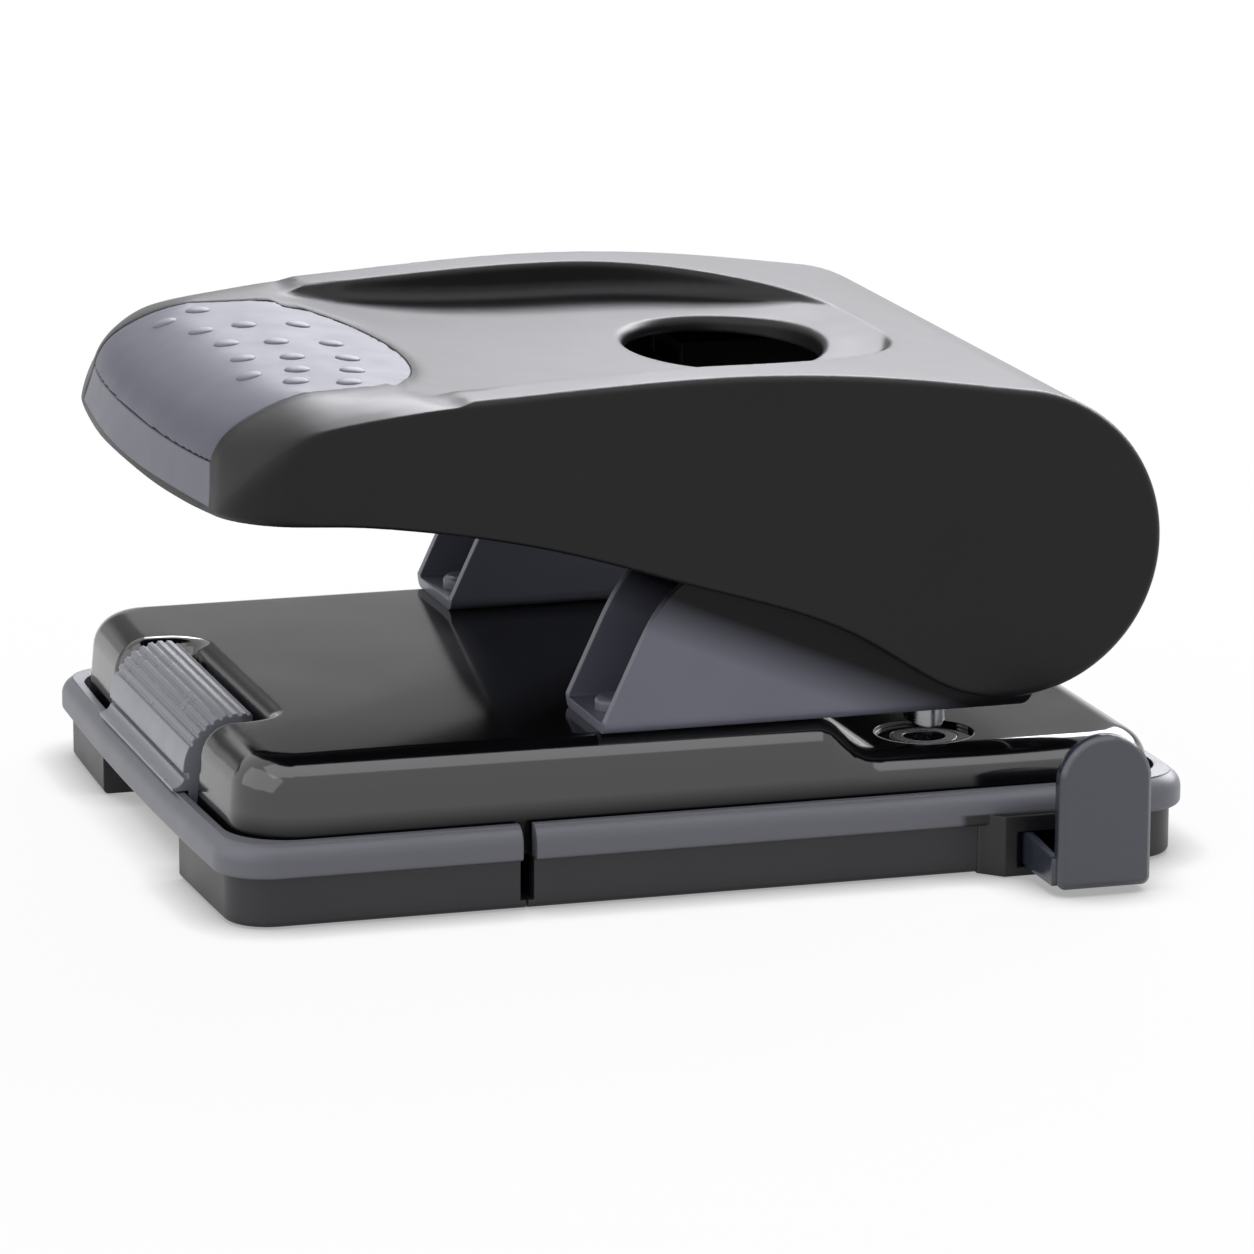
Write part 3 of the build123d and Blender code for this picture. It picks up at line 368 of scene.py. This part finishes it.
def merged_copy(node, name):
    """A copy of a CAD node under its own name, its seams closed; it is left selected and active."""
    copy = bpy.data.objects.new(name, node.data.copy())
    bpy.context.scene.collection.objects.link(copy)
    copy.select_set(True)
    bpy.context.view_layer.objects.active = copy
    bpy.ops.object.mode_set(mode="EDIT")
    bpy.ops.mesh.select_all(action="SELECT")
    bpy.ops.mesh.remove_doubles(threshold=SAME_POINT)
    bpy.ops.object.mode_set(mode="OBJECT")
    return copy


def paint(piece, material):
    """Leaves one material on a piece."""
    piece.data.materials.clear()
    piece.data.materials.append(material)


# ---- grip pad ---------------------------------------------------------------------
SKIN_GRID = 0.3                          # mm between the points of the pad's skin
SWEEP_HALF = 34.0                        # mm from the middle, where its top is relaxed
SWEEP_FRONT, SWEEP_REAR = -103.0, -65.5  # mm along Y, the same
SIDE_FADE = 4                            # mm over which the relaxing sets in at the sides
FRONT_FADE, REAR_FADE = 16, 2            # mm, the same at the two ends
TOP_FACING = 0.7                         # normals that point up more than this belong to the top
RELAX_STEPS = 700
DOT_RADIUS, DOT_HEIGHT = 1.85, 0.50      # mm
DOT_SUNK = 0.35                          # share of the height that is kept below the pad
DOT_SEAT = 1.15                          # the pad is measured this many radii from a dot's middle
DOT_BOW = 0.006                          # the rows curve forwards towards the sides
DOT_PLACES = {                           # mm: the X of each dot in a row, by the row's Y
    -92: (-25.5, -14, -3, 8.6, 19.7),
    -85: (-29, -15.3, -1.5, 10.3, 19.5, 27.3),
    -77: (-15, -0.8, 11.3, 21.8, 30.6),
}
OVERHEAD = 0.1                           # m, above the whole punch


def sweep_weight(vertex):
    """How far a point of the pad's skin is relaxed: fully on the top, not at its sides and ends."""
    x, y = abs(vertex.co.x) / MM, vertex.co.y / MM
    inner = min(1.0, max(0.0, (SWEEP_HALF - x) / SIDE_FADE))
    front = max(0.0, (y - SWEEP_FRONT) / FRONT_FADE)
    rear = max(0.0, (SWEEP_REAR - y) / REAR_FADE)
    return inner * min(1.0, front, rear) if vertex.normal.z > TOP_FACING else 0.0


def relaxed_pad():
    """The pad's skin with its top run in one sweep from the nose down into the dish."""
    skin = merged_copy(nodes["grip_pad"], "grip_pad_skin")
    even = skin.modifiers.new("even", "REMESH")
    even.mode = "VOXEL"
    even.voxel_size = SKIN_GRID * MM
    bpy.ops.object.modifier_apply(modifier="even")
    band = skin.vertex_groups.new(name="sweep")
    for vertex in skin.data.vertices:
        weight = sweep_weight(vertex)
        if weight > 0:
            band.add([vertex.index], weight, "REPLACE")
    relax = skin.modifiers.new("relax", "SMOOTH")
    relax.vertex_group = "sweep"
    relax.factor = 0.5
    relax.iterations = RELAX_STEPS
    bpy.ops.object.modifier_apply(modifier="relax")
    bpy.ops.object.shade_smooth_by_angle(angle=PIECE_EDGE)
    paint(skin, FINISHES["grip_soft"])
    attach(skin, "handle")
    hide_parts("grip_pad")
    skin.select_set(False)
    return skin


def pad_surface(tree, x, y):
    """A point and the normal of the grip pad's skin at x, y in mm, from four places round it."""
    reach = DOT_RADIUS * DOT_SEAT
    found = []
    for dx, dy in ((reach, 0), (0, reach), (-reach, 0), (0, -reach)):
        above = Vector(((x + dx) * MM, (y + dy) * MM, OVERHEAD))
        found.append(tree.ray_cast(above, Vector((0, 0, -1)))[0] or tree.find_nearest(above)[0])
    east, north, west, south = found
    normal = (east - west).cross(north - south).normalized()
    return (east + north + west + south) / 4, normal


def dot_pattern():
    """One lens of radius 1, cut off a little below its middle."""
    bpy.ops.mesh.primitive_uv_sphere_add(segments=28, ring_count=14, radius=1.0, location=(0, 0, 0))
    pattern = bpy.context.object
    bpy.ops.object.mode_set(mode="EDIT")
    bpy.ops.mesh.select_all(action="SELECT")
    bpy.ops.mesh.bisect(
        plane_co=(0, 0, -DOT_SUNK), plane_no=(0, 0, 1), clear_inner=True, use_fill=True)
    bpy.ops.object.mode_set(mode="OBJECT")
    bpy.ops.object.shade_smooth_by_angle(angle=DOT_EDGE)
    pattern.select_set(False)
    return pattern


def raise_dots():
    """Raised lens-shaped dots of the grip, moulded in one with the pad."""
    pattern = dot_pattern()
    mesh = relaxed_pad().data
    skin = BVHTree.FromPolygons(
        [vertex.co for vertex in mesh.vertices], [face.vertices for face in mesh.polygons])
    size = Matrix.Diagonal((DOT_RADIUS * MM, DOT_RADIUS * MM, DOT_HEIGHT * MM, 1.0))
    dots = []
    for y, row in DOT_PLACES.items():
        for x in row:
            point, normal = pad_surface(skin, x, y - DOT_BOW * x * x)
            turn = normal.to_track_quat("Z", "Y").to_matrix().to_4x4()
            dot = bpy.data.objects.new("grip_dots", pattern.data.copy())
            bpy.context.scene.collection.objects.link(dot)
            dot.data.transform(Matrix.Translation(point) @ turn @ size)
            dot.select_set(True)
            dots.append(dot)
    bpy.data.objects.remove(pattern)
    bpy.context.view_layer.objects.active = dots[0]
    bpy.ops.object.join()
    piece = bpy.context.object
    piece.name = "grip_dots"
    paint(piece, DOT_HIGHLIGHT_FINISH)
    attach(piece, "handle")
    piece.select_set(False)


def coil_spring(side):
    """The spring round a punch pin, carried by the base as one rigid piece."""
    node = nodes[f"pin_spring_{side}"]
    coil = merged_copy(node, f"coil_spring_{side}")
    bpy.ops.object.shade_smooth_by_angle(angle=PIECE_EDGE)
    paint(coil, FINISHES["spring_steel"])
    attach(coil, "base")
    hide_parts(node.name)
    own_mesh(coil)
    coil.select_set(False)


# ---- studio -----------------------------------------------------------------------
WHITE = 1.0, 1.0, 1.0, 1.0
FLOOR_SIZE, FLOOR_Z = 12.0, -0.0002      # m; a hair below the feet, so that they share no face
CONTACT_REACH = 9 * MM                   # how far from the product the floor darkens
CONTACT_OPEN = 0.35, 0.95                # share of open sky over which it does
CONTACT_DARK = 0.40                      # brightness where it is darkest
BACKDROP_SHARE = 0.93                    # the rest of the floor's look comes from the lamps
SURROUND = 0.35                          # how strongly the white room lights the product
SOFTBOX_COLOUR = (0.955, 0.95, 1.0)      # a cool daylight tube
SOFTBOXES = {                            # m: place, aim, width, length; W: power
    "overhead_softbox": ((0.4, -0.1, 1.6), (0.0, -0.03, 0.03), 2.4, 1.5, 12.0),
    "rear_softbox": ((-1.07, 0.93, 0.86), (0.0, -0.03, 0.05), 2.0, 0.8, 43.0),
    "front_softbox": ((0.25, -1.4, 0.75), (0.0, -0.05, 0.04), 2.4, 1.4, 10.0),
}
WALL_PLACE = -1.5, 0.4, 0.36             # m
WALL_SIZE = 0.44, 3.2, 1.0               # m: height, length; the plane has no thickness
WALL_BAND = 0.31, 0.44                   # m along Z, over which the wall darkens
WALL_LOW, WALL_HIGH = 0.62, 0.20         # its brightness below and above that


def seen_directly(tree):
    """1 for camera, glossy and transmission rays, 0 for the rays that light the object."""
    rays = add(tree, "ShaderNodeLightPath").outputs
    seen = maths(tree, "MAXIMUM", rays["Is Camera Ray"], rays["Is Glossy Ray"])
    return maths(tree, "MAXIMUM", seen, rays["Is Transmission Ray"])


def floor_paint():
    """White sweep at the backdrop's white, with a tight contact shadow under the product."""
    material, tree, shader, _ = new_material(
        "studio_floor_white", "#d8d8d8", roughness=0.9, specular=0.0)
    contact = add(tree, "ShaderNodeAmbientOcclusion", {"samples": 16}, {"Distance": CONTACT_REACH})
    level = ranged(tree, contact.outputs["AO"], *CONTACT_OPEN, CONTACT_DARK, 1.0)
    white = add(tree, "ShaderNodeEmission", links={"Color": WHITE, "Strength": level})
    both = add(tree, "ShaderNodeMixShader", links={
        0: maths(tree, "MULTIPLY", seen_directly(tree), BACKDROP_SHARE),
        1: shader.outputs[0], 2: white.outputs[0],
    })
    tree.links.new(both.outputs[0], tree.nodes["Material Output"].inputs["Surface"])
    return material


def build_floor():
    """One wide plane at the table's height."""
    bpy.ops.mesh.primitive_plane_add(size=FLOOR_SIZE, location=(0, 0, FLOOR_Z))
    floor = bpy.context.object
    floor.name = "studio_floor"
    bpy.ops.object.transform_apply(location=True)
    floor.data.materials.append(floor_paint())
    floor.select_set(False)


def light_studio():
    """An even white room, three softboxes and a grey wall behind the product."""
    world = bpy.data.worlds.new("studio")
    bpy.context.scene.world = world
    world.use_nodes = True
    tree = world.node_tree
    tree.nodes.clear()
    surround = add(tree, "ShaderNodeBackground", links={"Color": WHITE, "Strength": SURROUND})
    backdrop = add(tree, "ShaderNodeBackground", links={"Color": WHITE, "Strength": 1.0})
    both = add(tree, "ShaderNodeMixShader", links={
        0: seen_directly(tree), 1: surround.outputs[0], 2: backdrop.outputs[0],
    })
    add(tree, "ShaderNodeOutputWorld", links={"Surface": both.outputs[0]})
    for name, setting in SOFTBOXES.items():
        add_softbox(name, *setting)
    stand_wall()


def add_softbox(name, place, aim, width, length, power):
    """A rectangular lamp with its width level; it lights and reflects but isn't seen."""
    direction = Vector(aim) - Vector(place)
    bpy.ops.object.light_add(type="AREA", location=place)
    softbox = bpy.context.object
    softbox.name = name
    softbox.rotation_euler = direction.to_track_quat("-Z", "Y").to_euler()
    softbox.data.shape = "RECTANGLE"
    softbox.data.size = width
    softbox.data.size_y = length
    softbox.data.energy = power
    softbox.data.color = SOFTBOX_COLOUR
    softbox.visible_camera = False
    softbox.select_set(False)


def wall_grey():
    """Unlit studio wall: plain grey, darker towards its top."""
    material, tree, _, place = new_material(
        "studio_wall_grey", "#000000", roughness=1.0, specular=0.0)
    level = ranged(tree, axes(tree, place)["Z"], *WALL_BAND, WALL_LOW, WALL_HIGH)
    glow = add(tree, "ShaderNodeEmission", links={"Color": WHITE, "Strength": level})
    tree.links.new(glow.outputs[0], tree.nodes["Material Output"].inputs["Surface"])
    return material


def stand_wall():
    """A grey card below the rear softbox, so that the gloss of the flat tops reads dark."""
    bpy.ops.mesh.primitive_plane_add(
        size=1.0, location=WALL_PLACE, rotation=(0, math.radians(90), 0))
    wall = bpy.context.object
    wall.name = "studio_wall"
    wall.scale = WALL_SIZE
    bpy.ops.object.transform_apply(location=True, rotation=True, scale=True)
    wall.data.materials.append(wall_grey())
    wall.visible_camera = False
    wall.visible_diffuse = False
    wall.visible_shadow = False
    wall.select_set(False)


# ---- camera -----------------------------------------------------------------------
AZIMUTH, ELEVATION, ROLL = math.radians(72.88), math.radians(13.29), math.radians(0.19)
TARGET, DISTANCE = Vector((0.0, -0.03243, 0.02614)), 0.9898  # m
LENS, SENSOR = 192.3, 36.0               # mm
NEAR, FAR = 0.05, 50.0                   # m


def place_camera():
    """The camera looks at the product from its near side and a little above."""
    back = Vector((
        math.sin(AZIMUTH) * math.cos(ELEVATION),
        -math.cos(AZIMUTH) * math.cos(ELEVATION),
        math.sin(ELEVATION),
    ))
    right = (-back).cross(Vector((0, 0, 1))).normalized()
    up = right.cross(-back)
    turned_right = math.cos(ROLL) * right + math.sin(ROLL) * up
    turned_up = -math.sin(ROLL) * right + math.cos(ROLL) * up
    data = bpy.data.cameras.new("camera")
    data.lens = LENS
    data.sensor_width = SENSOR
    data.clip_start = NEAR
    data.clip_end = FAR
    camera = bpy.data.objects.new("camera", data)
    bpy.context.scene.collection.objects.link(camera)
    turn = Matrix((turned_right, turned_up, back)).transposed().to_4x4()
    camera.matrix_world = Matrix.Translation(TARGET + DISTANCE * back) @ turn
    bpy.context.scene.camera = camera


finish_cad_nodes()
raise_dots()
coil_spring("left")
coil_spring("right")
build_floor()
light_studio()
place_camera()
bpy.context.scene.view_settings.view_transform = "Standard"
